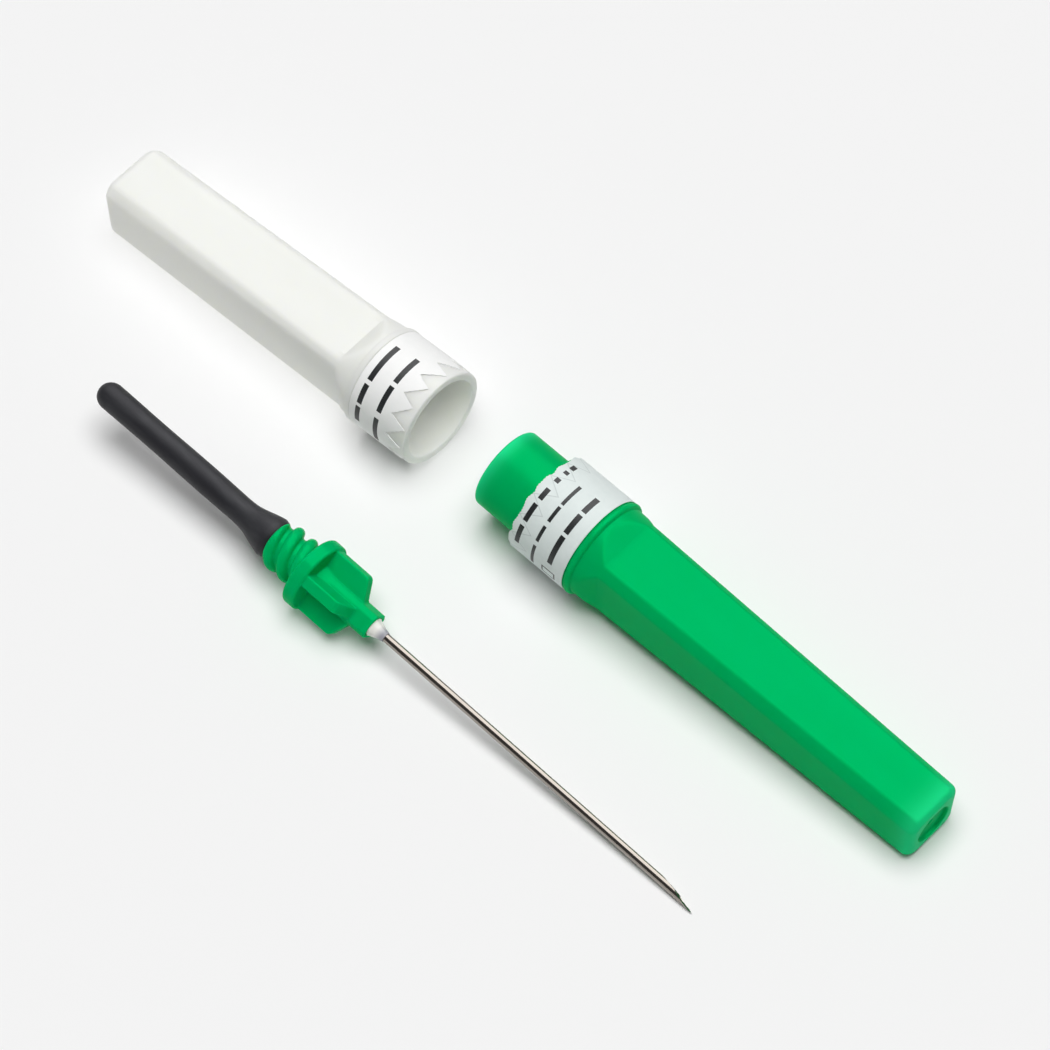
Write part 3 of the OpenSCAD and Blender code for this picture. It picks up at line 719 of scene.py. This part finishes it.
capSeal = {
    "radius": 4.85, "thickness": 0.07, "straightZ": 6.57, "rimZ": 0.12, "toothLen": 1.95,
    "teeth": 14, "columns": 840,
    "bars": [(88, 110, 5.3, 5.85), (114, 138, 5.3, 5.85), (143, 190, 5.3, 5.85),
             (75, 112, 3.1, 3.65), (120, 152, 3.1, 3.65), (157, 192, 3.1, 3.65)],
}


def capTorn(a):
    # a sawtooth round the mouth: each tooth rises over 0.7 of its pitch and falls over the rest,
    # with uneven lengths and small nicks and fibres along the cut
    t = (a * capSeal["teeth"] / fullTurn) % 1
    number = np.floor(a * capSeal["teeth"] / fullTurn)
    rise = np.where(t < 0.7, t / 0.7, (1 - t) / 0.3)
    uneven = 0.34 * np.abs(np.sin(number * 2.3)) * rise
    nicks = 0.10 * np.abs(np.sin(41 * a + 2 * np.sin(7 * a))) + 0.05 * np.abs(np.sin(127 * a))
    return capSeal["rimZ"] + capSeal["toothLen"] * (1 - rise) + uneven + nicks


band, inked, paperUv = paperBand(capSeal["radius"], capSeal["thickness"], capTorn,
                                 capSeal["straightZ"], capSeal["bars"], capSeal["columns"])
capLabel = makePiece("capSealPaper", band, capPlace, [capPaper, ink], inked, paperUv)
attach(capLabel, "root")
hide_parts("cap_label")
print("paper seals made")


# rubber sleeve: a turned profile with a hollow inside, on an axis that bends a little at its tip
sleeve = {
    "edgeZ": -4.0, "edgeRadius": 1.82, "bulgeRadius": 2.0, "bulgeZ": -4.65, "flareLen": 3.3,
    "tubeRadius": 1.27, "endZ": -26.0, "bendTip": 0.1, "seatRadius": 1.17, "seatZ": -6.4,
    "boreRadius": 0.65, "boreEndZ": -23.6, "columns": 96,
}


def sleeveShell(s):
    # outside: rounded lip, bulge, a flare that eases into the tube, and a round tip
    lip = arcRows(s["edgeZ"] - 0.12, s["edgeRadius"] - 0.12, 0.12, 0, 60, 4)
    t = np.linspace(0, 1, 7)[1:]
    toBulge = np.stack([s["edgeZ"] - 0.06 + (s["bulgeZ"] - s["edgeZ"] + 0.06) * t,
                        s["edgeRadius"] + (s["bulgeRadius"] - s["edgeRadius"]) * np.sin(t * math.pi / 2)], -1)
    t = np.linspace(0, 1, 22)[1:]
    fall = 0.5 * (1 - np.cos(t * math.pi)) / 2 + 0.5 * (1 - (1 - t) ** 1.6)
    flare = np.stack([s["bulgeZ"] - s["flareLen"] * t, s["bulgeRadius"] + (s["tubeRadius"] - s["bulgeRadius"])
                      * fall], -1)
    tubeZ = np.linspace(s["bulgeZ"] - s["flareLen"], s["endZ"] + s["tubeRadius"], 40)[1:]
    # the tube swells and thins by a few hundredths, as dipped rubber does
    tube = np.stack([tubeZ, s["tubeRadius"] + 0.02 * np.sin((tubeZ - s["bulgeZ"]) * 0.55)], -1)
    tip = arcRows(s["endZ"] + s["tubeRadius"], 0, s["tubeRadius"], 90, 176, 14)[1:]
    # inside: walked from the closed end of the bore to the seat on the spigot
    bore = np.array([(s["boreEndZ"], 0.2), (s["boreEndZ"] + 0.1, s["boreRadius"]), (s["seatZ"], s["boreRadius"]),
                     (s["seatZ"], s["seatRadius"]), (s["edgeZ"], s["seatRadius"]), (s["edgeZ"], s["edgeRadius"] - 0.14)])
    z, r = np.concatenate([bore, lip, toBulge, flare, tube, tip]).T
    points = aroundAxis(np.repeat(r[:, None], s["columns"], 1), z[:, None])
    # the far end leans over by the square of its distance along the free stretch
    lean = np.clip((s["bulgeZ"] - s["flareLen"] - points[..., 2]) / (s["bulgeZ"] - s["flareLen"] - s["endZ"]), 0, 1) ** 2
    points[..., 1] -= s["bendTip"] * lean
    return closedShell(points)


blackSleeve = makePiece("rubberSleeve", sleeveShell(sleeve), needlePlace, [rubberBlack])
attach(blackSleeve, "root")
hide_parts("rubber_sleeve")
print("sleeve made")


# adhesive: fills the well and draws out to a hollow-sided cone on the steel
adhesive = {"noseZ": 7.95, "wellRadius": 0.93, "wellDepth": 1.6, "coneLen": 1.42, "tubeRadius": 0.43, "columns": 96}


def adhesiveShell(s):
    t = np.linspace(0, 1, 20)
    a = np.arange(s["columns"]) * fullTurn / s["columns"]
    uneven = 1 + 0.06 * np.sin(2 * a + 0.6) + 0.03 * np.sin(5 * a)
    cone = s["tubeRadius"] + 0.04 + (s["wellRadius"] - s["tubeRadius"] - 0.04) * ((1 - t) * (1 - 0.35 * t))[:, None]
    cone = s["tubeRadius"] + (cone - s["tubeRadius"]) * np.where(t[:, None] > 0.05, uneven[None], 1)
    coneZ = s["noseZ"] + 0.02 + s["coneLen"] * t
    rows = [(s["noseZ"] + s["coneLen"], s["tubeRadius"]), (s["noseZ"] - s["wellDepth"], s["tubeRadius"]),
            (s["noseZ"] - s["wellDepth"], s["wellRadius"])]
    z, r = np.array(rows).T
    radius = np.concatenate([np.repeat(r[:, None], s["columns"], 1), np.minimum(cone, s["wellRadius"])])
    z = np.concatenate([z, coneZ])
    points = aroundAxis(radius, z[:, None])
    return ringShell(points), z


adhesiveGrid, adhesiveZ = adhesiveShell(adhesive)
glueBead = makePiece("adhesiveBead", adhesiveGrid, needlePlace, [glueMilky])
thinness = np.repeat(np.clip((adhesiveZ - adhesive["noseZ"] - 0.55) / 0.6, 0, 1)[:, None], adhesive["columns"], 1)
glueBead.data.attributes.new("thinness", "FLOAT", "POINT").data.foreach_set("value", thinness.ravel().astype(np.float32))
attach(glueBead, "root")
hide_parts("adhesive_bead")
print("adhesive made")


# hub: one moulding, given as a signed distance in millimetres that is below zero inside it
hub = {
    "flangeRadius": 3.468, "flangeThick": 1.3, "flangeRound": 0.24,
    "threadRadius": 2.35, "rootRadius": 1.73, "ridgeRadius": 0.54, "threadLen": 4.0, "threadLead": 3.2,
    "threadTurn": 82,
    "spigotRadius": 1.15, "spigotEnd": -6.2, "wingReach": 3.2, "wingThick": 1.12, "wingLen": 3.8,
    "wingSlope": 0.95, "wingTurn": 39, "wingRound": 0.12, "stemWidth": 2.36, "stemCornerWidth": 2.74,
    "noseZ": 7.95, "coneRadius": 1.6, "coneLen": 1.9, "wellRadius": 0.95, "wellDepth": 1.6,
    "boreRadius": 0.43, "fillet": 0.16, "cell": 0.08,
}


def hubField(p, s):
    x, y, z = p[..., 0], p[..., 1], p[..., 2]
    rho = np.hypot(x, y)
    flange = roundedMax(rho - s["flangeRadius"], np.abs(z - s["flangeThick"] / 2) - s["flangeThick"] / 2,
                        s["flangeRound"])
    # two-start thread: round ridges on a core. Twice the angle, less two turns for each lead along
    # the axis, folded to half a turn each way, gives the way along the axis to the nearest ridge
    phase = 2 * (np.arctan2(y, x) - math.radians(s["threadTurn"])) - 2 * fullTurn * z / s["threadLead"]
    beside = ((phase + math.pi) % fullTurn - math.pi) * s["threadLead"] / (2 * fullTurn)
    sink = 0.5 * np.clip(0.4 - (z + s["threadLen"]) / 0.5, 0, 1)
    ridge = np.hypot(rho - s["threadRadius"] + s["ridgeRadius"] + sink, 0.96 * beside) - s["ridgeRadius"]
    thread = softMin(ridge, rho - s["rootRadius"], 0.2)
    thread = roundedMax(thread, np.maximum(-s["threadLen"] - z, z - 0.3), 0.1)
    # stem: a square with cut corners, its faces towards the wings
    turn = math.radians(s["wingTurn"])
    u = np.abs(x * math.cos(turn) + y * math.sin(turn))
    v = np.abs(y * math.cos(turn) - x * math.sin(turn))
    stem = roundedMax(np.maximum(u, v) - s["stemWidth"] / 2, (u + v) / math.sqrt(2) - s["stemCornerWidth"] / 2, 0.06)
    stem = roundedMax(stem, z - s["noseZ"], 0.08)
    # wings: flat plates whose tops slope up to the stem
    wingTop = s["flangeThick"] + s["wingLen"]
    across, along = s["wingReach"] - s["stemWidth"] / 2, s["wingSlope"]

    def wing(reach, side):
        slope = ((z - wingTop) * across + (reach - s["wingReach"]) * along) / math.hypot(across, along)
        plate = roundedMax(reach - s["wingReach"], slope, 0.3)
        return roundedMax(roundedMax(plate, side - s["wingThick"] / 2, s["wingRound"]), 1.0 - z, 0.1)

    wings = np.minimum(wing(u, v), wing(v, u))
    # a cone round the stem's foot
    narrow = (s["coneRadius"] - s["stemWidth"] / 2) * (z - s["flangeThick"]) / s["coneLen"]
    cone = roundedMax(0.96 * (rho - s["coneRadius"] + narrow), z - s["flangeThick"] - s["coneLen"], 0.4)
    front = softMin(wings, np.maximum(stem, 0.6 - z), s["fillet"])
    front = softMin(front, np.maximum(cone, 0.6 - z), s["fillet"])
    body = softMin(softMin(flange, front, s["fillet"]), thread, 0.12)
    body = np.minimum(body, np.maximum(rho - s["spigotRadius"], np.maximum(s["spigotEnd"] - z, z)))
    # less the well for the glue and the bore for the tube
    well = np.maximum(rho - s["wellRadius"], s["noseZ"] - s["wellDepth"] - z)
    return np.maximum(-softMin(-body, well, 0.08), s["boreRadius"] - rho)


def hubShell(s):
    def field(p):
        return hubField(p, s)

    wide = s["flangeRadius"] + 0.13
    verts, quads = skinOf(field, (-wide, -wide, s["spigotEnd"] - 0.15), (wide, wide, s["noseZ"] + 0.15), s["cell"])
    return settle(field, verts, s["cell"]), quads


greenHub = makePiece("greenHub", hubShell(hub), needlePlace, [hubGreen], crease=60)
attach(greenHub, "root")
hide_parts("hub")
print("green hub made")


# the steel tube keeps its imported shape
def dressNode(name, material):
    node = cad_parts[name]
    if not node.data.materials:
        node.data.materials.append(None)
    for place in node.material_slots:
        place.material = material


dressNode("cannula", tubeSteel)


# floor and light
studio = {
    "floor": "#F4F4F4", "floorSize": 3.0,
    # one broad soft light at a distance: its spread and the way it comes from, in degrees
    "lightSpread": 48, "lightElevation": 88, "lightAzimuth": 100, "lightStrength": 2.85,
    # a large pale panel above the far side, which only reflections show: metres, degrees and watts
    "panelSize": (3.2, 1.9), "panelDistance": 1.3, "panelElevation": 62, "panelWatts": 50,
    "world": 0.09,
}


def makeFloor(s):
    half = s["floorSize"] / 2
    mesh = bpy.data.meshes.new("floor")
    mesh.from_pydata([(-half, -half, 0), (half, -half, 0), (half, half, 0), (-half, half, 0)], [], [(0, 1, 2, 3)])
    floor = bpy.data.objects.new("floor", mesh)
    bpy.context.scene.collection.objects.link(floor)
    # plain white card: even and matt
    material, tree, shader, coords = newMaterial("card_white")
    shader.inputs["Base Color"].default_value = toLinear(s["floor"])
    shader.inputs["Roughness"].default_value = 0.9
    shader.inputs["Specular IOR Level"].default_value = 0.0
    mesh.materials.append(material)


def makeLights(s):
    light = bpy.data.lights.new("softLight", "SUN")
    light.angle = math.radians(s["lightSpread"])
    light.energy = s["lightStrength"]
    lamp = bpy.data.objects.new("softLight", light)
    el, az = math.radians(s["lightElevation"]), math.radians(s["lightAzimuth"])
    lamp.location = (math.cos(el) * math.cos(az), math.cos(el) * math.sin(az), math.sin(el))
    lamp.rotation_euler = (math.pi / 2 - el, 0, az + math.pi / 2)
    bpy.context.scene.collection.objects.link(lamp)
    lamp.visible_glossy = False
    panel = bpy.data.lights.new("reflectedPanel", "AREA")
    panel.shape = "RECTANGLE"
    panel.size, panel.size_y = s["panelSize"]
    panel.energy = s["panelWatts"]
    board = bpy.data.objects.new("reflectedPanel", panel)
    up = math.radians(s["panelElevation"])
    board.location = (0, s["panelDistance"] * math.cos(up), s["panelDistance"] * math.sin(up))
    board.rotation_euler = (up - math.pi / 2, 0, 0)
    board.visible_diffuse = False
    board.visible_camera = False
    bpy.context.scene.collection.objects.link(board)
    world = bpy.data.worlds.new("studioWorld")
    world.use_nodes = True
    background = world.node_tree.nodes["Background"]
    background.inputs["Color"].default_value = (1, 1, 1, 1)
    background.inputs["Strength"].default_value = s["world"]
    bpy.context.scene.world = world


makeFloor(studio)
makeLights(studio)
print("floor and light set")
